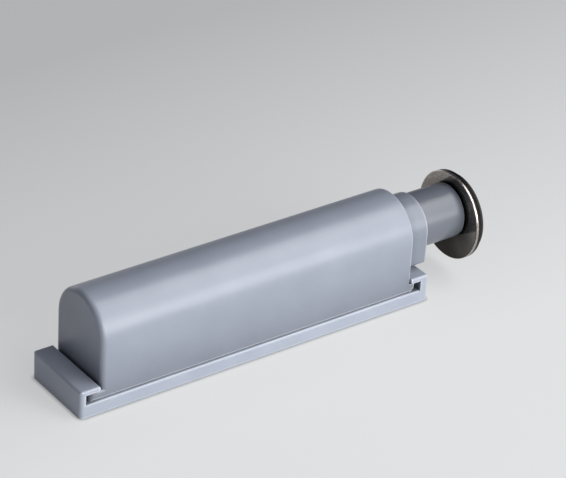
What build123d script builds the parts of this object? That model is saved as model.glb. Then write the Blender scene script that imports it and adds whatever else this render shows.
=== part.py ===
from build123d import *
import os

# Touch latch for furniture without handles. An arched housing sits between two hooks of a
# mounting plate. A sprung plunger with a magnet tip comes out of its mouth, held in by a
# wire that rides in a heart-shaped cam track. The magnet holds a round steel strike disc.
# Millimetres, latched position.
# The origin is the centre of the mounting plate's underside, +X the way the plunger comes
# out, +Z up.

# Mounting plate
plate_thick = 2.3
plate_margin = 0.36          # plate seen beyond each side of the housing
plate_corner = 0.65
plate_edge_round = 0.3       # long edges of the plate's top
hook_height = 4.9
hook_side_round = 0.35
lip_thick = 0.8
rear_lip_reach = 3.65
front_lip_reach = 3.6
rear_hook_wall = 1.0
front_hook_wall = 1.6
hook_round = 0.45
lip_round = 0.2
screw_hole_r = 1.7
screw_head_r = 3.1
screw_spacing = 44.0
detent_r = 1.5               # two low domes that the tray's dimples click over
detent_rise = 0.35
detent_spacing = 24.0

# Housing shell
housing_length = 60.8
housing_wall = 1.3
roof_wall = 1.52
rear_wall = 1.5
rear_edge_round = 0.9
mouth_edge_bevel = 0.15
foot_height = 1.6            # height of the foot that hooks under the plate's lips
seam = 0.25                  # rebate along the housing's lower edges
rear_foot_reach = 2.3
rear_foot_corner = 1.2
front_foot_reach = 0.95
foot_round = 0.25
front_foot_lead = 1.3        # rounding under the front foot, so that it rocks into its hook
sill_length = 1.5
mouth_snap_length = 1.6      # ridges on the bush that click into the housing's walls
mouth_snap_height = 5.0
mouth_snap_inset = 2.0

# Base tray, the floor that carries the latch wire and guides the keel
tray_thick = 1.35
rail_width = 1.0
rail_height = 1.9
rail_rear_inset = 2.6
bed_margin = 0.2
bed_depth = 0.45
snap_reach = 0.25
snap_length = 4.0
snap_height = 0.5
snap_count = 3

# Plunger and nose bush
plunger_dia = 9.5
plunger_height = 11.35       # axis of the plunger above the plate's underside
plunger_reach = 8.3          # tip beyond the nose when latched
push_travel = 3.0            # further in, to let go
open_travel = 20.0           # out, when it has let go
nose_length = 4.4
nose_wall = 0.4
nose_floor_wall = 0.55
nose_lower_corner = 0.5
nose_edge_bevel = 0.2
sleeve_tip_bevel = 0.25

# Slider with the cam track
collar_step = 0.35           # collar and stop ring beyond the plunger, on the radius
collar_length = 3.0
keel_cheek = 1.05            # beside the lanes
keel_front_wall = 1.55       # before the pockets
spigot_wall = 0.6
spigot_length = 5.0
web_thick = 1.2
spring_seat_depth = 19.0     # from the sleeve's rear end to its spring seat
stop_ring_thick = 0.9
end_gap = 0.3                # left at both ends of the stroke

# Heart cam, seen from below, from the place where the wire's tip rests when latched
track_depth = 1.4
track_gap = 0.15             # each side of the wire
lane_offset = 1.9
lane_front = 0.9
lane_rear = -7.0
lane_merge = -9.5
pocket_offset = 0.75

# Wire, springs and rear block
wire_dia = 0.8
wire_bend_r = 0.6
wire_tail = 3.0              # upright end of the wire in the rear block
tip_gap = 0.2                # between the wire's tip and the roof of the track
leaf_length = 15.0
leaf_width = 3.0
leaf_thick = 0.2
leaf_middle = -12.0
block_thick = 1.4
buffer_thick = 0.8
guide_pin_length = 36.0
pin_flange_step = 0.8
pin_flange_thick = 0.6
spring_dia = 6.2
spring_wire_dia = 0.7
spring_turns = 11
turn_steps = 12              # flats in a turn of the spring, to keep it light
spring_sides = 6             # flats round the spring's wire
wire_sides = 10              # flats round the latch wire

# Magnet and strike
magnet_stand = 0.15          # magnet face beyond the plunger's tip
tip_wall = 0.6               # sleeve round the magnet's cup
cup_length = 4.0
cup_wall = 0.7
cup_floor = 0.8
strike_dia = 15.6
strike_thick = 1.15
strike_edge = 0.3
strike_drop = 1.2            # disc's centre below the plunger's axis, as it was stuck on
pad_inset = 0.7
pad_thick = 0.8

# Clearances
rear_lip_gap = 0.4           # housing to the lips, along the plate
front_lip_gap = 0.1
fit_gap = 0.05               # between pieces that are pushed together
running_gap = 0.05           # plunger in its bush, on the radius
side_gap = 0.3               # keel to its rails
collar_gap = 0.33            # collar to the housing
buffer_gap = 0.43            # rear buffer to the housing
spring_gap = 0.3             # spring to the bore round it, on the radius
pin_gap = 0.5                # guide pin to the spring, on the radius
detent_gap = 0.1
wire_lift = 0.2              # wire above the tray
keel_gap = 0.15              # keel above the wire

# Places that follow
plunger_r = plunger_dia / 2
wire_r = wire_dia / 2
spring_wire_r = spring_wire_dia / 2
collar_r = plunger_r + collar_step
cavity_half = collar_r + collar_gap
housing_half = cavity_half + housing_wall
housing_top = plunger_height + cavity_half + roof_wall
spring_bore_r = spring_dia / 2 + spring_gap
spigot_r = spring_bore_r + spigot_wall
guide_pin_r = spring_dia / 2 - spring_wire_dia - pin_gap
cup_r = plunger_r - tip_wall - fit_gap
lane_half = wire_r + track_gap
keel_half = lane_offset + lane_half + keel_cheek
pocket_reach = push_travel + 2 * fit_gap
tip_to_keel_front = pocket_reach + lane_half + keel_front_wall
nose_half = plunger_r + running_gap + nose_wall
nose_bottom = plunger_height - plunger_r - running_gap - nose_floor_wall
z_strike = plunger_height - strike_drop
plate_length = rear_lip_reach + rear_lip_gap + housing_length + front_lip_gap + front_lip_reach
plate_width = 2 * (housing_half + plate_margin)
x_plate_rear = -plate_length / 2
x_plate_front = plate_length / 2
x_rear = x_plate_rear + rear_lip_reach + rear_lip_gap
x_front = x_rear + housing_length
x_cavity = x_rear + rear_wall
x_sill = x_front - sill_length
x_block = x_cavity + block_thick
x_buffer = x_block + buffer_thick
x_slider_rear = x_buffer + end_gap + push_travel
x_tip = x_front + nose_length + plunger_reach
z_floor = plate_thick
z_foot = z_floor + foot_height
z_tray = z_floor + tray_thick
x_slider_front = x_slider_rear + tip_to_keel_front + open_travel + wire_dia
x_bush_rear = x_slider_front + stop_ring_thick + end_gap + open_travel
x_wire_tip = x_slider_front - tip_to_keel_front
z_wire = z_tray + wire_lift + wire_r
z_keel = z_wire + wire_r + keel_gap
x_seat = x_slider_front + spring_seat_depth
x_magnet = x_tip + magnet_stand


def across(x):
    """Plane at x whose first axis is Y and second Z, so that an extrusion runs along +X."""
    return Plane(origin=(x, 0, 0), x_dir=(0, 1, 0), z_dir=(1, 0, 0))


def block(x0, x1, half_width, z0, z1):
    """Straight block, symmetrical about the plunger's upright plane."""
    centre = ((x0 + x1) / 2, 0, (z0 + z1) / 2)
    return Pos(*centre) * Box(x1 - x0, 2 * half_width, z1 - z0)


def rod(x0, x1, radius, z=plunger_height):
    """Cylinder along X, on the plunger's axis or at another height."""
    return extrude(across(x0) * Pos(0, z) * Circle(radius), amount=x1 - x0)


def arch(x0, x1, half_width, z_low, z_axis):
    """Straight sides with a half-round top."""
    sides = Pos(0, (z_low + z_axis) / 2) * Rectangle(2 * half_width, z_axis - z_low)
    profile = sides + Pos(0, z_axis) * Circle(half_width)
    return extrude(across(x0) * profile, amount=x1 - x0)


def side_profile(points, half_width):
    """Outline in X and Z, extruded to both sides of the middle."""
    outline = Plane.XZ * make_face(Polyline(*points, close=True))
    return extrude(outline, amount=half_width, both=True)


def edges_along_y(solid, places, reach=0.01):
    """Edges along Y through the given X and Z places."""
    found = []
    for edge in solid.edges().filter_by(Axis.Y):
        middle = edge.center()
        if any(abs(middle.X - x) < reach and abs(middle.Z - z) < reach for x, z in places):
            found.append(edge)
    return found


def edges_along_x(solid, z, reach=0.01):
    """Edges along X at a height."""
    return solid.edges().filter_by(Axis.X).filter_by_position(Axis.Z, z - reach, z + reach)


def screw_hole(x):
    """Countersunk hole, its head flush with the top of the plate."""
    head_depth = screw_head_r - screw_hole_r
    shank = Pos(x, 0, z_floor / 2) * Cylinder(screw_hole_r, z_floor + 1)
    head = Pos(x, 0, z_floor - head_depth / 2) * Cone(screw_hole_r, screw_head_r, head_depth)
    return shank + head


def detent(side, radius):
    """Top of a ball that stands out of the plate as a low dome."""
    x = side * detent_spacing / 2
    ball = Pos(x, 0, z_floor + detent_rise - detent_r) * Sphere(radius)
    return ball & block(x - radius, x + radius, radius, z_floor, z_tray)


def mounting_plate():
    """Flat strip whose ends fold up and back over it as hooks."""
    z_lip = hook_height - lip_thick
    outline = [
        (x_plate_rear, 0), (x_plate_front, 0), (x_plate_front, hook_height),
        (x_plate_front - front_lip_reach, hook_height), (x_plate_front - front_lip_reach, z_lip),
        (x_plate_front - front_hook_wall, z_lip), (x_plate_front - front_hook_wall, z_floor),
        (x_plate_rear + rear_hook_wall, z_floor), (x_plate_rear + rear_hook_wall, z_lip),
        (x_plate_rear + rear_lip_reach, z_lip), (x_plate_rear + rear_lip_reach, hook_height),
        (x_plate_rear, hook_height),
    ]
    plate = side_profile(outline, plate_width / 2)
    outer = [(x_plate_rear, hook_height), (x_plate_front, hook_height)]
    plate = fillet(edges_along_y(plate, outer), hook_round)
    tips = [(x, z) for x in (x_plate_rear + rear_lip_reach, x_plate_front - front_lip_reach)
            for z in (z_lip, hook_height)]
    plate = fillet(edges_along_y(plate, tips), lip_round)
    plate = fillet(edges_along_x(plate, z_floor), plate_edge_round)
    plan = extrude(RectangleRounded(plate_length, plate_width, plate_corner), amount=hook_height)
    end_view = Pos(0, hook_height / 2) * Rectangle(plate_width, hook_height)
    end_view = fillet(end_view.vertices().sort_by(Axis.Y)[2:], hook_side_round)
    plate = plate & plan & extrude(across(x_plate_rear) * end_view, amount=plate_length)
    for side in (-1, 1):
        plate += detent(side, detent_r)
        plate -= screw_hole(side * screw_spacing / 2)
    return plate


def front_foot():
    """Foot under the front hook, rounded below so that it can rock in."""
    x_end = x_front + front_foot_reach
    outline = [(x_front - sill_length, z_floor), (x_end, z_floor), (x_end, z_foot),
               (x_front - sill_length, z_foot)]
    foot = side_profile(outline, housing_half)
    foot = fillet(edges_along_y(foot, [(x_end, z_floor)]), front_foot_lead)
    return fillet(edges_along_y(foot, [(x_end, z_foot)]), foot_round)


def rear_foot():
    """Foot under the rear hook, as wide as the housing."""
    x_end = x_rear - rear_foot_reach
    foot = block(x_end, x_rear + rear_wall, housing_half, z_floor, z_foot)
    upright = foot.edges().filter_by(Axis.Z).sort_by(Axis.X)[:2]
    foot = fillet(upright, rear_foot_corner)
    return chamfer(edges_along_y(foot, [(x_end, z_foot)]), foot_round)


def snap_places():
    """Places along the tray of the snaps that hold it in the housing."""
    pitch = housing_length / (snap_count + 1)
    return [x_rear + pitch * (i + 1) for i in range(snap_count)]


def snap_bars(half_length, half_height, reach):
    """Bars that stand out of both long sides of the tray."""
    z = z_floor + tray_thick / 2
    bars = []
    for x in snap_places():
        size = (2 * half_length, 2 * (cavity_half + reach), 2 * half_height)
        bars.append(Pos(x, 0, z) * Box(*size))
    return bars


def mouth_snap(gap):
    """Ridge across the plug of the bush, or with a gap its pocket in the housing's walls."""
    x0 = x_bush_rear + mouth_snap_inset - gap
    x1 = x0 + mouth_snap_length + 2 * gap
    half_height = mouth_snap_height / 2 + gap
    z = plunger_height - plunger_r / 2
    return block(x0, x1, cavity_half + snap_reach + gap, z - half_height, z + half_height)


def housing():
    """Arched shell, closed at the rear, open at the mouth and below."""
    z_arch = housing_top - housing_half
    shell = arch(x_rear, x_front, housing_half, z_floor, z_arch)
    rear_edges = shell.faces().sort_by(Axis.X)[0].edges().sort_by(Axis.Z)[1:]
    shell = fillet(rear_edges, rear_edge_round)
    mouth_edges = shell.faces().sort_by(Axis.X)[-1].edges().sort_by(Axis.Z)[1:]
    shell = chamfer(mouth_edges, mouth_edge_bevel)
    shell += rear_foot()
    shell += front_foot()
    rebate = block(x_rear - rear_foot_reach, x_front, housing_half, z_floor, z_floor + seam)
    shell -= rebate - block(x_rear - rear_foot_reach, x_front, housing_half - seam, z_floor, z_foot)
    shell -= arch(x_cavity, x_front + front_foot_reach, cavity_half, z_foot, plunger_height)
    shell -= block(x_cavity, x_sill, cavity_half, z_floor, z_foot)
    for bar in snap_bars(snap_length / 2 + fit_gap, snap_height / 2 + fit_gap, snap_reach + fit_gap):
        shell -= bar
    return shell - mouth_snap(fit_gap)


def leaf_strip():
    """Bowed strip that lies in the tray's bed and lifts the wire into the track."""
    x0 = leaf_middle - leaf_length / 2
    x1 = leaf_middle + leaf_length / 2
    z_low = z_tray - bed_depth
    z_high = z_wire - wire_r - leaf_thick
    lower = ThreePointArc((x0, z_low), (leaf_middle, z_high), (x1, z_low))
    upper = ThreePointArc((x1, z_low + leaf_thick), (leaf_middle, z_high + leaf_thick),
                          (x0, z_low + leaf_thick))
    ends = Line(lower @ 1, upper @ 0) + Line(upper @ 1, lower @ 0)
    strip = make_face(Curve() + [lower, upper] + ends.edges())
    return extrude(Plane.XZ * strip, amount=leaf_width / 2, both=True)


def base_tray():
    """Floor of the housing, with the rails for the keel and the bed of the wire."""
    tray = block(x_cavity + fit_gap, x_sill - fit_gap, cavity_half - fit_gap, z_floor, z_tray)
    rail_y = keel_half + side_gap + rail_width / 2
    x0 = x_cavity + rail_rear_inset
    x1 = x_bush_rear - end_gap
    for side in (-1, 1):
        centre = ((x0 + x1) / 2, side * rail_y, z_tray + rail_height / 2)
        rail = Pos(*centre) * Box(x1 - x0, rail_width, rail_height)
        tray += rail
    for bar in snap_bars(snap_length / 2, snap_height / 2, snap_reach):
        tray += bar
    bed_x0 = leaf_middle - leaf_length / 2 - fit_gap
    bed_x1 = leaf_middle + leaf_length / 2 + fit_gap
    tray -= block(bed_x0, bed_x1, leaf_width / 2 + bed_margin, z_tray - bed_depth, z_tray)
    for side in (-1, 1):
        tray -= detent(side, detent_r + detent_gap)
    return tray


def nose_bush():
    """Plug in the housing's mouth, with the stub that the plunger runs out of."""
    plug = arch(x_bush_rear, x_front, cavity_half - fit_gap, z_foot + fit_gap, plunger_height)
    stub = arch(x_front, x_front + nose_length, nose_half, nose_bottom, plunger_height)
    stub = fillet(edges_along_x(stub, nose_bottom), nose_lower_corner)
    stub = chamfer(stub.faces().sort_by(Axis.X)[-1].edges(), nose_edge_bevel)
    plug += mouth_snap(0)
    return plug + stub - rod(x_bush_rear, x_front + nose_length, plunger_r + running_gap)


def rear_block():
    """Insert at the closed end: it holds the guide pin and the wire's upright tail."""
    body = arch(x_cavity, x_block, cavity_half - fit_gap, z_tray, plunger_height)
    body -= rod(x_cavity, x_block, guide_pin_r + fit_gap)
    body -= rod(x_cavity, x_cavity + pin_flange_thick, guide_pin_r + pin_flange_step + fit_gap)
    x_tail = x_cavity + block_thick / 2
    z_top = z_wire + wire_tail + fit_gap
    tail = Pos(x_tail, 0, (z_tray + z_top) / 2) * Cylinder(wire_r + fit_gap, z_top - z_tray)
    mouth = block(x_tail, x_block, wire_r + fit_gap, z_tray, z_wire + wire_bend_r)
    return body - tail - mouth


def guide_pin():
    """Pin that keeps the spring straight, with a flange behind the rear block."""
    shank = rod(x_cavity, x_cavity + guide_pin_length, guide_pin_r)
    shank = chamfer(shank.edges().sort_by(Axis.X)[-1], guide_pin_r / 4)
    return shank + rod(x_cavity, x_cavity + pin_flange_thick, guide_pin_r + pin_flange_step)


def rear_buffer():
    """Soft ring that the slider meets when it is pushed right in."""
    return rod(x_block, x_buffer, cavity_half - buffer_gap) - rod(x_block, x_buffer, spring_bore_r)


def main_spring():
    """Compression spring on the guide pin, inside the slider and the sleeve."""
    start = x_block + spring_wire_r
    length = x_seat - spring_wire_r - start
    coil_r = spring_dia / 2 - spring_wire_r
    path = Helix(pitch=length / spring_turns, height=length, radius=coil_r,
                 center=(start, 0, plunger_height), direction=(1, 0, 0))
    steps = spring_turns * turn_steps
    sections = []
    for i in range(steps + 1):
        at = i / steps
        place = path @ at
        outward = place - Vector(place.X, 0, plunger_height)
        plane = Plane(origin=place, x_dir=outward, z_dir=path % at)
        sections.append(plane * RegularPolygon(spring_wire_r, spring_sides))
    return loft(sections, ruled=True)


def latch_wire():
    """Spring wire: a tail in the rear block, a run along the tray, a tip up into the track."""
    x_tail = x_cavity + block_thick / 2
    route = [(x_tail, 0, z_wire + wire_tail), (x_tail, 0, z_wire), (x_wire_tip, 0, z_wire),
             (x_wire_tip, 0, z_keel + track_depth - tip_gap)]
    path = FilletPolyline(*route, radius=wire_bend_r)
    start = Plane(origin=path @ 0, z_dir=path % 0)
    return sweep(start * RegularPolygon(wire_r, wire_sides), path=path)


def lane(points):
    """Groove of the wire's width along a chain of points, round at every point."""
    shape = Sketch()
    for start, end in zip(points, points[1:]):
        middle = ((start[0] + end[0]) / 2, (start[1] + end[1]) / 2)
        run = Vector(*end) - Vector(*start)
        slot = SlotCenterToCenter(run.length, 2 * lane_half)
        angle = Vector(1, 0).get_signed_angle(run, Vector(0, 0, 1))
        shape += Pos(*middle) * Rot(0, 0, angle) * slot
    return shape


def heart_track():
    """Cam track: in along one lane, caught in the notch, pushed on and out along the other."""
    tail = (-tip_to_keel_front - open_travel, 0)
    merge = (lane_merge, 0)
    way_in = [tail, merge, (lane_rear, lane_offset), (lane_front, lane_offset),
              (pocket_reach, pocket_offset)]
    notch = [(pocket_reach, pocket_offset), (0, 0), (pocket_reach, -pocket_offset)]
    way_out = [(pocket_reach, -pocket_offset), (lane_front, -lane_offset), (lane_rear, -lane_offset),
               merge]
    shape = lane(way_in) + lane(notch) + lane(way_out)
    return extrude(Pos(x_wire_tip, 0, z_keel) * shape, amount=track_depth)


def slider():
    """Rear half of the plunger: a tube on a keel that carries the cam track."""
    body = rod(x_slider_rear, x_slider_front, plunger_r)
    body += rod(x_slider_front - collar_length, x_slider_front, collar_r)
    body += block(x_slider_rear, x_slider_front, keel_half, z_keel, plunger_height)
    body += rod(x_slider_front, x_slider_front + spigot_length, spigot_r)
    body -= rod(x_slider_rear, x_slider_front + spigot_length, spring_bore_r)
    return body - heart_track()


def plunger_sleeve():
    """Front half of the plunger, the part that is seen, with a seat at each end."""
    x_cup = x_magnet - cup_length
    sleeve = rod(x_slider_front, x_tip, plunger_r)
    sleeve = chamfer(sleeve.edges().sort_by(Axis.X)[-1], sleeve_tip_bevel)
    sleeve -= rod(x_slider_front, x_slider_front + spigot_length + end_gap, spigot_r + fit_gap)
    sleeve -= rod(x_slider_front, x_seat, spring_bore_r)
    sleeve -= rod(x_seat + web_thick, x_cup, spring_bore_r)
    return sleeve - rod(x_cup, x_tip, cup_r + fit_gap)


def stop_ring():
    """Soft ring before the collar, which meets the bush when the plunger flies out."""
    ring = rod(x_slider_front, x_slider_front + stop_ring_thick, collar_r)
    return ring - rod(x_slider_front, x_slider_front + stop_ring_thick, plunger_r)


def magnet_cup():
    """Steel pot round the magnet, its rim level with the magnet's face."""
    x_cup = x_magnet - cup_length
    return rod(x_cup, x_magnet, cup_r) - rod(x_cup + cup_floor, x_magnet, cup_r - cup_wall)


def magnet():
    """Disc magnet in the cup."""
    return rod(x_magnet - cup_length + cup_floor, x_magnet, cup_r - cup_wall - fit_gap)


def strike_disc():
    """Steel disc that the magnet holds, its edge broken on the magnet's side."""
    disc = rod(x_magnet, x_magnet + strike_thick, strike_dia / 2, z_strike)
    return chamfer(disc.edges().sort_by(Axis.X)[0], strike_edge)


def strike_pad():
    """Foam pad behind the disc, sticky on both sides."""
    x_back = x_magnet + strike_thick
    return rod(x_back, x_back + pad_thick, strike_dia / 2 - pad_inset, z_strike)


pieces = {
    "mounting_plate": mounting_plate, "housing": housing, "base_tray": base_tray,
    "nose_bush": nose_bush, "rear_block": rear_block, "guide_pin": guide_pin,
    "rear_buffer": rear_buffer, "main_spring": main_spring, "latch_wire": latch_wire,
    "wire_spring": leaf_strip, "slider": slider, "plunger_sleeve": plunger_sleeve,
    "stop_ring": stop_ring, "magnet_cup": magnet_cup, "magnet": magnet,
    "strike_disc": strike_disc, "strike_pad": strike_pad,
}
os.makedirs("parts", exist_ok=True)
for node, make in pieces.items():
    export_step(make(), f"parts/{node}.step")
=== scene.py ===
import math

import bpy
from bpy.props import (FloatProperty, FloatVectorProperty, IntProperty, PointerProperty,
                       StringProperty)
from mathutils import Matrix, Vector


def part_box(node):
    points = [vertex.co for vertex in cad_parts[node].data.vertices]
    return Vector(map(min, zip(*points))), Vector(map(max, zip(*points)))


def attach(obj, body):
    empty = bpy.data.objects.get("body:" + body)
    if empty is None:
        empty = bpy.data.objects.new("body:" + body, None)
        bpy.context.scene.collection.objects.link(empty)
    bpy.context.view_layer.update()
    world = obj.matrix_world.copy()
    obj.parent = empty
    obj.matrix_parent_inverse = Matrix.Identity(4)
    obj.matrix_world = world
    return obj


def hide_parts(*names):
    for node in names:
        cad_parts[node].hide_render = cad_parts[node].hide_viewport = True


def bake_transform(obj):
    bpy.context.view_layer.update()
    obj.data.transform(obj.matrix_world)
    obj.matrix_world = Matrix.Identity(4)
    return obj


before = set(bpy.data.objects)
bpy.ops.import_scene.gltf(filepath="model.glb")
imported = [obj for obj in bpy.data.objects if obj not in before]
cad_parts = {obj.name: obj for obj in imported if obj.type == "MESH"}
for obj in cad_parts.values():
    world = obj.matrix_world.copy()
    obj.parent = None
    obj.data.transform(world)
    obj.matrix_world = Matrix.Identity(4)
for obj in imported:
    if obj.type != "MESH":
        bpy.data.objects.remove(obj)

bl_info = {
    "name": "Touch Latch",
    "version": (1, 0, 0),
    "blender": (4, 5, 0),
    "location": "View3D > Sidebar > Touch Latch",
    "description": "Finishes, coil spring and strike disc of a push-to-open latch, with its stage",
    "category": "Object",
}

MM = 0.001
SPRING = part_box("main_spring")
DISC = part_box("strike_disc")

# Stage, in metres
LATCH_MIDDLE = (0.005, 0, 0.01)
FLOOR_GAP = 0.02 * MM
FLOOR_FADE = (-20 * MM, 100 * MM)
SENSOR_WIDTH_MM = 36
NEAREST_SEEN = 0.01

# Spring
WIRE_SIDES = 12
CLOSED_PITCH = 1.02  # of the wire's diameter, so that closed turns don't cut each other

# Disc
DISC_SIDES = 160
RIM_STEPS, BURR_STEPS = 4, 2
DISH_STEP, DISH_DEPTH = 0.12 * MM, 0.03 * MM
EDGE_SLOT, BROKEN_SLOT = 1, 2

# Shares of openness between which a painted highlight or painted shade fades in: (full, none)
EDGE_HIGHLIGHT = (0.68, 0.92)
GAP = (0.0, 1.0)
NICKEL_SHADE = (0.35, 0.85)
CONTACT_SHADOW = (0.35, 1.0)

SPRING_STEEL = ("#8E8D8A", "#B4B3AF")


# Colour and nodes

def linear(code):
    """Linear colour of an sRGB hex code such as #A0A0A0, with full alpha."""
    values = [int(code[i:i + 2], 16) / 255 for i in (1, 3, 5)]
    return tuple(v / 12.92 if v <= 0.04045 else ((v + 0.055) / 1.055) ** 2.4
                 for v in values) + (1.0,)


def add_node(tree, kind, links=(), **settings):
    """Adds a node. Settings are attributes or input names, links are (input, output socket)."""
    node = tree.nodes.new(kind)
    for name, value in settings.items():
        if hasattr(node, name):
            setattr(node, name, value)
        else:
            node.inputs[name.replace("_", " ")].default_value = value
    for name, socket in links:
        tree.links.new(socket, node.inputs[name])
    return node


def new_material(name, **shader_settings):
    """Material with an empty tree, its shader and its output."""
    material = bpy.data.materials.new(name)
    material.use_nodes = True
    tree = material.node_tree
    tree.nodes.clear()
    shader = add_node(tree, "ShaderNodeBsdfPrincipled", **shader_settings)
    add_node(tree, "ShaderNodeOutputMaterial", links=[("Surface", shader.outputs["BSDF"])])
    return material, tree, shader


def per_mm(size):
    """Scale of a pattern on Object coordinates, in metres, whose size is given in millimetres."""
    return 1 / (size * MM)


def mottle(tree, size, detail=3.0, stretch=(1, 1, 1)):
    """Blotches of a size in millimetres on the piece, longer along an axis by the stretch there."""
    place = add_node(tree, "ShaderNodeTexCoord").outputs["Object"]
    scale = tuple(1 / factor for factor in stretch)
    mapping = add_node(tree, "ShaderNodeMapping", links=[("Vector", place)], Scale=scale)
    texture = add_node(tree, "ShaderNodeTexNoise", links=[("Vector", mapping.outputs["Vector"])],
                       Scale=per_mm(size), Detail=detail)
    return texture.outputs["Fac"]


def two_tones(tree, shader, factor, dark, light, low=0.3, high=0.7):
    """Colour that wanders between two close tones."""
    ramp = add_node(tree, "ShaderNodeValToRGB", links=[("Fac", factor)])
    ramp.color_ramp.elements[0].position = low
    ramp.color_ramp.elements[0].color = linear(dark)
    ramp.color_ramp.elements[1].position = high
    ramp.color_ramp.elements[1].color = linear(light)
    tree.links.new(ramp.outputs["Color"], shader.inputs["Base Color"])
    return ramp.outputs["Color"]


def tone_by_nearness(tree, shader, colour, code, reach, shares, edges=False, local=False):
    """Another tone where a piece faces something near, such as a gap, or else on its sharp edges.

    It reads how open the surface is within a reach in millimetres. The shares of openness say
    where the tone is full and where it ends. A local one reads the piece itself alone.
    The tone is painted shade in gaps, and a painted highlight on sharp edges.
    """
    full, none = shares
    near = add_node(tree, "ShaderNodeAmbientOcclusion", inside=edges, only_local=local, samples=8,
                    Distance=reach * MM)
    mask = add_node(tree, "ShaderNodeMapRange", links=[("Value", near.outputs["AO"])],
                    From_Min=none, From_Max=full, To_Min=0.0, To_Max=1.0)
    mix = add_node(tree, "ShaderNodeMix", data_type="RGBA",
                   links=[("Factor", mask.outputs["Result"])])
    sockets = {socket.identifier: socket for socket in mix.inputs}
    tree.links.new(colour, sockets["A_Color"])
    sockets["B_Color"].default_value = linear(code)
    result = next(socket for socket in mix.outputs if socket.identifier == "Result_Color")
    tree.links.new(result, shader.inputs["Base Color"])
    return result


def roughness_between(tree, shader, factor, low, high):
    """Roughness that wanders between two values."""
    spread = add_node(tree, "ShaderNodeMapRange", links=[("Value", factor)],
                      From_Min=0.3, From_Max=0.7, To_Min=low, To_Max=high)
    tree.links.new(spread.outputs["Result"], shader.inputs["Roughness"])


def bumps(tree, shader, heights, rounding=0.0):
    """Bumps, each (height socket, depth in millimetres, strength), over softened edges."""
    normal = None
    if rounding:
        bevel = add_node(tree, "ShaderNodeBevel", samples=6, Radius=rounding * MM)
        normal = bevel.outputs["Normal"]
    for height, depth, strength in heights:
        links = [("Height", height)] + ([("Normal", normal)] if normal else [])
        bump = add_node(tree, "ShaderNodeBump", links=links, Strength=strength,
                        Distance=depth * MM)
        normal = bump.outputs["Normal"]
    tree.links.new(normal, shader.inputs["Normal"])


def moulded_plastic(name, dark, light, edge, gap, edge_reach=0.3, reach=2.5, local=True,
                    roughness=(0.3, 0.36)):
    """ABS or acetal from a mould that was polished lengthwise and lightly spark-eroded.

    It gives an even satin, with a grain that is only just felt, soft streaks along the piece and
    faint sinks where the wall is thick. Its edges are painted lighter, a painted highlight, and
    its gaps darker, painted shade.
    """
    material, tree, shader = new_material(name, IOR=1.54)
    tone = two_tones(tree, shader, mottle(tree, 8), dark, light)
    # Painted highlight on sharp edges, then painted shade in gaps
    tone = tone_by_nearness(tree, shader, tone, edge, edge_reach, EDGE_HIGHLIGHT,
                            edges=True, local=True)
    tone_by_nearness(tree, shader, tone, gap, reach, GAP, local=local)
    streaks = mottle(tree, 0.9, 4.0, (30, 1, 1))
    roughness_between(tree, shader, streaks, *roughness)
    # The real grain is about 0.05 mm, drawn at 0.2 mm so that it shows
    grain = mottle(tree, 0.2, 2.0)
    sinks = mottle(tree, 12, 1.0)
    bumps(tree, shader, [(grain, 0.006, 0.25), (streaks, 0.012, 0.3), (sinks, 0.04, 0.3)],
          rounding=0.25)
    return material


def bright_nickel(name, dark, light, painted_shade=None, roughness=(0.06, 0.13), pitting=0.2):
    """Bright nickel on pressed steel: mirror-like, with the faint pits of the sheet below.

    Where it faces something near, painted shade darkens it.
    """
    material, tree, shader = new_material(name, Metallic=1.0)
    pits = mottle(tree, 0.3, 5.0)
    tone = two_tones(tree, shader, pits, dark, light, 0.35, 0.65)
    if painted_shade:
        # Painted shade where the nickel faces something near, within 16 mm
        tone_by_nearness(tree, shader, tone, painted_shade, 16, NICKEL_SHADE)
    roughness_between(tree, shader, mottle(tree, 2.5, 4.0), *roughness)
    bumps(tree, shader, [(pits, 0.003, pitting)])
    return material


def broken_steel(name, dark, light):
    """Thinly plated broken edge of punched steel: dull and dark, with fine lines across it."""
    material, tree, shader = new_material(name, Metallic=1.0)
    lines = mottle(tree, 0.12, 3.0, (8, 1, 1))
    two_tones(tree, shader, lines, dark, light)
    roughness_between(tree, shader, lines, 0.35, 0.55)
    bumps(tree, shader, [(lines, 0.006, 0.4)])
    return material


def drawn_wire(name, dark, light):
    """Spring steel drawn through a die and lightly oiled: bright, with fine lines along it."""
    material, tree, shader = new_material(name, Metallic=1.0)
    lines = mottle(tree, 0.15, 3.0, (6, 1, 1))
    two_tones(tree, shader, lines, dark, light)
    roughness_between(tree, shader, lines, 0.22, 0.38)
    bumps(tree, shader, [(lines, 0.004, 0.3)])
    return material


def moulded_rubber(name, dark, light):
    """Soft moulded rubber: dull and nearly black, with a fine dusty bloom."""
    material, tree, shader = new_material(name, IOR=1.52)
    bloom = mottle(tree, 0.6, 5.0)
    two_tones(tree, shader, bloom, dark, light)
    roughness_between(tree, shader, bloom, 0.7, 0.9)
    bumps(tree, shader, [(bloom, 0.02, 0.4)])
    return material


def cell_foam(name, dark, light):
    """Closed-cell foam tape: charcoal and dull, with a skin of small round cells."""
    material, tree, shader = new_material(name, IOR=1.45)
    place = add_node(tree, "ShaderNodeTexCoord").outputs["Object"]
    cells = add_node(tree, "ShaderNodeTexVoronoi", links=[("Vector", place)], Scale=per_mm(0.3))
    two_tones(tree, shader, cells.outputs["Distance"], dark, light, 0.0, 0.6)
    roughness_between(tree, shader, cells.outputs["Distance"], 0.75, 0.95)
    bumps(tree, shader, [(cells.outputs["Distance"], 0.04, 0.6)])
    return material


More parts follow.
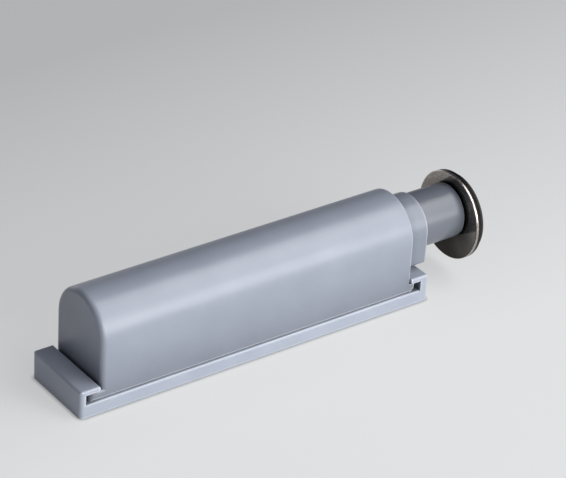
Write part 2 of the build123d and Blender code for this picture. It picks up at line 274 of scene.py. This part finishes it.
def painted_board(name, near, far, contact, glow):
    """Matt painted board: even and pale, with the orange peel of a roller, darker further back.

    A share of it glows for the camera and in reflections alone, so that it is pale without more
    light on the latch and still takes a soft shadow. Its darkening further back is painted shade,
    and so is its darker tone close beside the latch, a painted contact shadow.
    """
    material, tree, shader = new_material(name, Roughness=0.7, Specular_IOR_Level=0.2)
    bumps(tree, shader, [(mottle(tree, 4.0), 0.01, 0.1)])
    place = add_node(tree, "ShaderNodeTexCoord").outputs["Object"]
    # Painted shade: darker further back along Y
    parts = add_node(tree, "ShaderNodeSeparateXYZ", links=[("Vector", place)])
    slope = add_node(tree, "ShaderNodeMapRange", links=[("Value", parts.outputs["Y"])],
                     From_Min=FLOOR_FADE[0], From_Max=FLOOR_FADE[1], To_Min=0.0, To_Max=1.0)
    colour = two_tones(tree, shader, slope.outputs["Result"], near, far, 0.0, 1.0)
    # Painted contact shadow, darker close beside the latch
    colour = tone_by_nearness(tree, shader, colour, contact, 0.8, CONTACT_SHADOW)
    path = add_node(tree, "ShaderNodeLightPath").outputs
    seen = path["Is Camera Ray"]
    for ray in ("Is Glossy Ray", "Is Transmission Ray"):
        pair = add_node(tree, "ShaderNodeMath", operation="MAXIMUM")
        tree.links.new(seen, pair.inputs[0])
        tree.links.new(path[ray], pair.inputs[1])
        seen = pair.outputs["Value"]
    share = add_node(tree, "ShaderNodeMapRange", links=[("Value", seen)],
                     To_Min=0.0, To_Max=glow)
    light = add_node(tree, "ShaderNodeEmission", links=[("Color", colour)])
    mix = add_node(tree, "ShaderNodeMixShader", links=[("Fac", share.outputs["Result"])])
    tree.links.new(shader.outputs["BSDF"], mix.inputs[1])
    tree.links.new(light.outputs["Emission"], mix.inputs[2])
    output = next(node for node in tree.nodes if node.type == "OUTPUT_MATERIAL")
    tree.links.new(mix.outputs["Shader"], output.inputs["Surface"])
    return material


def dress(material, *nodes):
    """Gives CAD pieces a finish in all their material slots."""
    for node in nodes:
        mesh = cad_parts[node].data
        if not mesh.materials:
            mesh.materials.append(material)
        for i in range(len(mesh.materials)):
            mesh.materials[i] = material


# Modelling

def settle(piece, name, material, smooth=math.radians(40)):
    """Puts a finished piece's place into its mesh, names it and gives it its finish."""
    bpy.ops.object.select_all(action="DESELECT")
    piece.select_set(True)
    bpy.context.view_layer.objects.active = piece
    bpy.ops.object.transform_apply(location=True, rotation=True, scale=True)
    bpy.ops.object.mode_set(mode="EDIT")
    bpy.ops.mesh.select_all(action="SELECT")
    bpy.ops.mesh.remove_doubles(threshold=0.001 * MM)
    bpy.ops.mesh.normals_make_consistent(inside=False)
    bpy.ops.object.mode_set(mode="OBJECT")
    bpy.ops.object.shade_smooth_by_angle(angle=smooth)
    piece.name = piece.data.name = name
    piece.data.materials.clear()
    piece.data.materials.append(material)
    bpy.ops.object.select_all(action="DESELECT")
    return piece


def pick_faces(piece, test):
    """Selects the faces of the piece in edit mode that pass the test, and no others."""
    bpy.ops.object.mode_set(mode="OBJECT")
    for vertex in piece.data.vertices:
        vertex.select = False
    for edge in piece.data.edges:
        edge.select = False
    for face in piece.data.polygons:
        face.select = test(face)
    bpy.ops.object.mode_set(mode="EDIT")
    bpy.ops.mesh.select_mode(type="FACE")


# Settings

class LatchColours(bpy.types.PropertyGroup):
    """Colours of the finishes, as sRGB hex codes."""
    housing_dark: StringProperty(
        name="Housing, dark tone", description="Darker tone of the housing", default="#8C929E")
    housing_light: StringProperty(
        name="Housing, light tone", description="Lighter tone of the housing", default="#9399A5")
    plate_dark: StringProperty(
        name="Plate, dark tone", description="Darker tone of the plate", default="#9AA0AD")
    plate_light: StringProperty(
        name="Plate, light tone", description="Lighter tone of the plate", default="#A1A8B4")
    # Painted highlight on edges of housing and nose
    housing_edge_highlight: StringProperty(
        name="Housing, edges", description="Tone of the painted highlight on the edges of housing and nose",
        default="#DADEE8")
    # Painted highlight on edges of plate and plunger
    plate_edge_highlight: StringProperty(
        name="Plate, edges", description="Tone of the painted highlight on the edges of plate and plunger",
        default="#BFC4CF")
    plunger_dark: StringProperty(
        name="Plunger, dark tone", description="Darker tone of the plunger", default="#62676F")
    plunger_light: StringProperty(
        name="Plunger, light tone", description="Lighter tone of the plunger", default="#686C75")
    nose_dark: StringProperty(
        name="Nose, dark tone", description="Darker tone of the nose bush", default="#7A808B")
    nose_light: StringProperty(
        name="Nose, light tone", description="Lighter tone of the nose bush", default="#818792")
    nickel_dark: StringProperty(
        name="Nickel, dark tone", description="Darker tone of the plating", default="#A9A099")
    nickel_light: StringProperty(
        name="Nickel, light tone", description="Lighter tone of the plating", default="#D0C8C1")
    # Painted shade in the gaps of the plastic
    gap: StringProperty(
        name="Plastic, gaps", description="Tone where the plastic faces something near",
        default="#202328")
    # Painted shade on the disc where it faces something near
    painted_shade: StringProperty(
        name="Nickel, painted shade", description="Tone of the disc where it faces something near",
        default="#2B2826")
    floor_near: StringProperty(
        name="Floor, near", description="Colour of the floor", default="#E7E8E8")
    # Painted shade: the floor darker further back
    floor_far: StringProperty(
        name="Floor, far", description="Colour of the floor further back", default="#BDBEBF")
    # Painted contact shadow on the floor beside the latch
    floor_contact_shadow: StringProperty(
        name="Floor, contact", description="Colour of the floor close beside the latch",
        default="#8E9092")
    room: StringProperty(
        name="Room", description="Colour of the light of the room", default="#DFE6FF")


class LatchSpring(bpy.types.PropertyGroup):
    """Sizes of the coil spring."""
    wire: FloatProperty(
        name="Wire", description="Diameter of the spring's wire", default=0.7 * MM, min=0.1 * MM,
        subtype="DISTANCE", unit="LENGTH")
    turns: IntProperty(
        name="Turns", description="Turns of the spring, closed ends included", default=13, min=4)
    steps: IntProperty(name="Steps", description="Steps in each turn", default=40, min=12)


class LatchDisc(bpy.types.PropertyGroup):
    """Sizes of the strike disc."""
    rim: FloatProperty(
        name="Rim", description="Rounding of the rim of the face, drawn in by the press",
        default=0.14 * MM, min=0.1 * MM, subtype="DISTANCE", unit="LENGTH")
    cut: FloatProperty(
        name="Cut", description="Part of the thickness that the press cuts bright",
        default=0.4 * MM, min=0.2 * MM, subtype="DISTANCE", unit="LENGTH")
    break_in: FloatProperty(
        name="Break", description="How far the broken part of the edge leans inward",
        default=0.05 * MM, min=0.0, subtype="DISTANCE", unit="LENGTH")
    burr: FloatProperty(
        name="Burr", description="Rounding of the rim at the back",
        default=0.08 * MM, min=0.02 * MM, subtype="DISTANCE", unit="LENGTH")


class LatchStage(bpy.types.PropertyGroup):
    """Camera and lamps."""
    azimuth: FloatProperty(
        name="Azimuth", description="Turn of the view about the upright axis",
        default=math.radians(-37.578), subtype="ANGLE", unit="ROTATION")
    elevation: FloatProperty(
        name="Elevation", description="Height of the view", default=math.radians(30.714),
        subtype="ANGLE", unit="ROTATION")
    roll: FloatProperty(
        name="Roll", description="Lean of the picture", default=math.radians(3.546),
        subtype="ANGLE", unit="ROTATION")
    distance: FloatProperty(
        name="Distance", description="From the camera to the point it looks at", default=463.3 * MM,
        subtype="DISTANCE", unit="LENGTH")
    target: FloatVectorProperty(
        name="Target", description="Point that the camera looks at",
        default=(15.705 * MM, 9.27 * MM, 9.05 * MM), subtype="XYZ", unit="LENGTH")
    lens: FloatProperty(
        name="Lens", description="Focal length in millimetres", default=176.63)
    floor_size: FloatProperty(
        name="Floor size", description="Side of the floor", default=6.0,
        subtype="DISTANCE", unit="LENGTH")
    key_power: FloatProperty(
        name="Key power", description="Power of the main lamp in watts", default=4.0)
    strip_power: FloatProperty(
        name="Strip power", description="Watts of the lamp that draws the band on the housing",
        default=1.75)
    fill_power: FloatProperty(
        name="Fill power", description="Watts of the lamp that opens the shade behind",
        default=0.5)
    sky: FloatProperty(
        name="Sky", description="Brightness of the room round the latch", default=0.118)
    glow: FloatProperty(
        name="Floor glow", description="Share of the floor that is pale without light",
        default=0.65, min=0, max=1)


# Stage

def view_axes(settings):
    """Right, up and back of the camera."""
    azimuth, elevation, roll = settings.azimuth, settings.elevation, settings.roll
    back = Vector((math.sin(azimuth) * math.cos(elevation),
                   -math.cos(azimuth) * math.cos(elevation),
                   math.sin(elevation)))
    right = (-back).cross(Vector((0, 0, 1))).normalized()
    up = right.cross(-back)
    turned_right = right * math.cos(roll) + up * math.sin(roll)
    turned_up = up * math.cos(roll) - right * math.sin(roll)
    return turned_right, turned_up, back


def add_camera(settings):
    """Camera at the photographed angle."""
    right, up, back = view_axes(settings)
    camera = bpy.data.objects.new("view", bpy.data.cameras.new("view"))
    bpy.context.collection.objects.link(camera)
    place = Vector(settings.target) + back * settings.distance
    turn = Matrix((right, up, back)).transposed().to_4x4()
    camera.matrix_world = Matrix.Translation(place) @ turn
    camera.data.lens = settings.lens
    camera.data.sensor_width = SENSOR_WIDTH_MM
    camera.data.clip_start = NEAREST_SEEN
    bpy.context.scene.camera = camera


def add_soft_box(name, place, width, height, power, lengthwise=(0, 0, 1)):
    """Soft box at a place, turned to the latch, its height along a direction."""
    lamp = bpy.data.lights.new(name, "AREA")
    lamp.shape = "RECTANGLE"
    lamp.size = width
    lamp.size_y = height
    lamp.energy = power
    holder = bpy.data.objects.new(name, lamp)
    bpy.context.collection.objects.link(holder)
    back = (Vector(place) - Vector(LATCH_MIDDLE)).normalized()
    side = Vector(lengthwise).cross(back).normalized()
    turn = Matrix((side, back.cross(side), back)).transposed().to_4x4()
    holder.matrix_world = Matrix.Translation(place) @ turn


class LATCH_OT_stage(bpy.types.Operator):
    """Adds the floor, the lamps, the room's light and the camera"""
    bl_idname = "latch.stage"
    bl_label = "Stage"

    def execute(self, context):
        settings = context.scene.latch_stage
        colours = context.scene.latch_colours
        bpy.ops.object.select_all(action="DESELECT")
        # A hair below the plate, so that the two planes don't meet
        bpy.ops.mesh.primitive_plane_add(size=settings.floor_size, location=(0, 0, -FLOOR_GAP))
        floor = context.active_object
        floor.name = "floor"
        board = painted_board("Matt painted board", colours.floor_near, colours.floor_far,
                              colours.floor_contact_shadow, settings.glow)
        floor.data.materials.append(board)
        # The main light, from the right of the camera
        add_soft_box("key", place=(0.13, -0.55, 0.2), width=0.6, height=0.36,
                     power=settings.key_power)
        # It stands where the housing's shoulder mirrors it, and so draws the band
        add_soft_box("strip", place=(0.317, -0.2, 0.47), width=0.26, height=0.45,
                     power=settings.strip_power, lengthwise=(0, 0.9, 0.43))
        # Opens the shade on the far side
        add_soft_box("fill", place=(-0.05, 0.55, 0.1), width=0.6, height=0.2,
                     power=settings.fill_power)
        world = bpy.data.worlds.new("room")
        world.use_nodes = True
        background = world.node_tree.nodes["Background"]
        background.inputs["Color"].default_value = linear(colours.room)
        background.inputs["Strength"].default_value = settings.sky
        context.scene.world = world
        context.scene.view_settings.view_transform = "Standard"
        add_camera(settings)
        return {"FINISHED"}


# Pieces

class LATCH_OT_finishes(bpy.types.Operator):
    """Gives every CAD piece its finish"""
    bl_idname = "latch.finishes"
    bl_label = "Finishes"

    def execute(self, context):
        colours = context.scene.latch_colours
        # Painted shade darkens the housing's flanks towards the plate, so it looks further and past
        # itself
        dress(moulded_plastic("ABS, satin moulded housing", colours.housing_dark,
                              colours.housing_light, colours.housing_edge_highlight, colours.gap,
                              reach=12, local=False), "housing")
        dress(moulded_plastic("ABS, satin moulded plate", colours.plate_dark, colours.plate_light,
                              colours.plate_edge_highlight, colours.gap, edge_reach=0.4),
              "mounting_plate", "base_tray", "rear_block")
        dress(moulded_plastic("ABS, satin moulded nose", colours.nose_dark, colours.nose_light,
                              colours.housing_edge_highlight, colours.gap, edge_reach=0.4, local=False),
              "nose_bush")
        # Rubbed glossier by the bush
        dress(moulded_plastic("ABS, satin moulded plunger", colours.plunger_dark,
                              colours.plunger_light, colours.plate_edge_highlight, colours.gap,
                              roughness=(0.28, 0.33)), "plunger_sleeve")
        # Its third and fourth tones are the painted edge highlight and the painted shade in gaps
        dress(moulded_plastic("Acetal, moulded", "#C9C8C2", "#D2D1CB", "#DAD9D4", "#8E8D88",
                              roughness=(0.28, 0.36)), "slider")
        dress(bright_nickel("Steel, nickel plated", colours.nickel_dark, colours.nickel_light),
              "magnet_cup")
        dress(bright_nickel("Magnet, nickel plated", "#A3A19E", "#C4C3C0"), "magnet")
        dress(drawn_wire("Spring steel, drawn", *SPRING_STEEL),
              "latch_wire", "wire_spring", "guide_pin")
        dress(moulded_rubber("Rubber, moulded", "#1B1B1D", "#2A2A2D"),
              "rear_buffer", "stop_ring")
        # Charcoal foam; its near-black tone also serves as painted shade round the disc's edge
        dress(cell_foam("Foam tape, closed cell", "#1F1F21", "#303032"), "strike_pad")
        return {"FINISHED"}


class LATCH_OT_spring(bpy.types.Operator):
    """Winds the coil spring inside the plunger, its end turns closed"""
    bl_idname = "latch.spring"
    bl_label = "Coil spring"

    def execute(self, context):
        sizes = context.scene.latch_spring
        low, high = SPRING
        radius = sizes.wire / 2
        length = high.x - low.x - sizes.wire
        coil_radius = (high.z - low.z) / 2 - radius
        middle = (low + high) / 2
        bpy.ops.object.select_all(action="DESELECT")
        # The wire's section stands beside the axis, and the screw winds it along X
        bpy.ops.mesh.primitive_circle_add(
            vertices=WIRE_SIDES, radius=radius, fill_type="NOTHING",
            location=(low.x + radius, middle.y, middle.z + coil_radius),
            rotation=(math.radians(90), 0, 0))
        spring = context.active_object
        bpy.ops.object.transform_apply(location=False, rotation=True, scale=False)
        context.scene.cursor.location = (low.x + radius, middle.y, middle.z)
        bpy.ops.object.origin_set(type="ORIGIN_CURSOR")
        screw = spring.modifiers.new("wind", "SCREW")
        screw.axis = "X"
        screw.angle = 2 * math.pi * sizes.turns
        screw.screw_offset = length
        screw.steps = screw.render_steps = sizes.turns * sizes.steps
        screw.use_normal_calculate = True
        bpy.ops.object.modifier_apply(modifier=screw.name)
        self.close_ends(spring, sizes, length)
        self.cap_ends(spring)
        material = drawn_wire("Spring steel, coiled", *SPRING_STEEL)
        piece = settle(spring, "coil_spring", material, math.radians(60))
        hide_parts("main_spring")
        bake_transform(piece)
        return {"FINISHED"}

    def close_ends(self, spring, sizes, length):
        """Draws the first and last turn together, as on a real spring, and spreads the others."""
        turns = sizes.turns
        closed = sizes.wire * CLOSED_PITCH
        open_pitch = (length - 2 * closed) / (turns - 2)
        pitch = length / turns
        for vertex in spring.data.vertices:
            x = vertex.co.x
            turn = min(max(x / pitch, 0), turns)
            if turn < 1:
                target = turn * closed
            elif turn > turns - 1:
                target = length - (turns - turn) * closed
            else:
                target = closed + (turn - 1) * open_pitch
            vertex.co.x = x - turn * pitch + target

    def cap_ends(self, spring):
        """Fills the two open ends of the wire."""
        bpy.ops.object.mode_set(mode="EDIT")
        bpy.ops.mesh.select_all(action="DESELECT")
        bpy.ops.mesh.select_mode(type="EDGE")
        bpy.ops.mesh.select_non_manifold()
        bpy.ops.mesh.edge_face_add()
        bpy.ops.object.mode_set(mode="OBJECT")


class LATCH_OT_disc(bpy.types.Operator):
    """Presses the strike disc: its edge is cut bright at the face and broken dull behind"""
    bl_idname = "latch.disc"
    bl_label = "Strike disc"

    def execute(self, context):
        sizes = context.scene.latch_disc
        colours = context.scene.latch_colours
        low, high = DISC
        radius = (high.y - low.y) / 2
        middle = (low + high) / 2
        bpy.ops.object.select_all(action="DESELECT")
        bpy.ops.mesh.primitive_cylinder_add(
            vertices=DISC_SIDES, radius=radius, depth=sizes.cut, end_fill_type="NGON",
            location=(low.x + sizes.cut / 2, middle.y, middle.z),
            rotation=(0, math.radians(-90), 0))
        disc = context.active_object
        bpy.ops.object.transform_apply(location=True, rotation=True, scale=False)
        # The punch cuts the first part of the edge and breaks the rest
        pick_faces(disc, lambda face: face.normal.x > 0.99)
        broken = high.x - low.x - sizes.cut
        bpy.ops.mesh.extrude_region_move(TRANSFORM_OT_translate={"value": (broken, 0, 0)})
        shrink = 1 - sizes.break_in / radius
        bpy.ops.transform.resize(value=(1, shrink, shrink), center_override=tuple(middle))
        bpy.ops.object.mode_set(mode="OBJECT")
        self.round_rim(disc, -1, sizes.rim, RIM_STEPS)
        self.round_rim(disc, 1, sizes.burr, BURR_STEPS)
        # A shallow dish in the face, as the press leaves it
        pick_faces(disc, lambda face: face.normal.x < -0.99 and face.area > (radius / 2) ** 2)
        bpy.ops.mesh.inset(thickness=DISH_STEP)
        bpy.ops.mesh.inset(thickness=DISH_STEP)
        bpy.ops.transform.translate(value=(DISH_DEPTH, 0, 0))
        bpy.ops.object.mode_set(mode="OBJECT")
        material = bright_nickel("Steel disc, nickel plated", colours.nickel_dark,
                                 colours.nickel_light, colours.painted_shade)
        piece = settle(disc, "pressed_disc", material)
        # The edge is smeared by the punch in front, and broken and thinly plated behind, dull there
        # and near-black as painted shade
        edge = bright_nickel("Steel edge, nickel plated", "#9A938D", "#C9C2BC",
                             roughness=(0.22, 0.34), pitting=1.0)
        piece.data.materials.append(edge)
        piece.data.materials.append(broken_steel("Steel edge, broken", "#221F1D", "#3B3733"))
        for face in piece.data.polygons:
            if face.center.x > low.x + sizes.cut:
                face.material_index = BROKEN_SLOT
            elif abs(face.normal.x) < 0.97:
                face.material_index = EDGE_SLOT
        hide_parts("strike_disc")
        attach(piece, "plunger")
        return {"FINISHED"}

    def round_rim(self, disc, side, width, segments):
        """Rounds the rim of the face on one side of the disc."""
        pick_faces(disc, lambda face: face.normal.x * side > 0.99)
        bpy.ops.mesh.region_to_loop()
        bpy.ops.mesh.bevel(offset=width, segments=segments, affect="EDGES")
        bpy.ops.object.mode_set(mode="OBJECT")


class LATCH_PT_panel(bpy.types.Panel):
    """Lists the steps and their settings"""
    bl_idname = "LATCH_PT_panel"
    bl_label = "Touch Latch"
    bl_space_type = "VIEW_3D"
    bl_region_type = "UI"
    bl_category = "Touch Latch"

    def draw(self, context):
        for step in STEPS:
            self.layout.operator(step.bl_idname)
        for name in GROUPS:
            group = getattr(context.scene, name)
            for setting in group.__annotations__:
                self.layout.prop(group, setting)


STEPS = (LATCH_OT_stage, LATCH_OT_finishes, LATCH_OT_spring, LATCH_OT_disc)
GROUPS = {"latch_colours": LatchColours, "latch_spring": LatchSpring, "latch_disc": LatchDisc,
          "latch_stage": LatchStage}


def register():
    """Registers the settings, the steps and the panel."""
    for name, group in GROUPS.items():
        bpy.utils.register_class(group)
        setattr(bpy.types.Scene, name, PointerProperty(type=group))
    for step in STEPS + (LATCH_PT_panel,):
        bpy.utils.register_class(step)


def unregister():
    """Takes out what register puts in."""
    for step in (LATCH_PT_panel,) + STEPS[::-1]:
        bpy.utils.unregister_class(step)
    for name, group in reversed(GROUPS.items()):
        delattr(bpy.types.Scene, name)
        bpy.utils.unregister_class(group)


def main():
    """Takes every step in order."""
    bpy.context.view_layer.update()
    register()
    for step in STEPS:
        group, name = step.bl_idname.split(".")
        getattr(getattr(bpy.ops, group), name)()


if __name__ == "__main__":
    main()
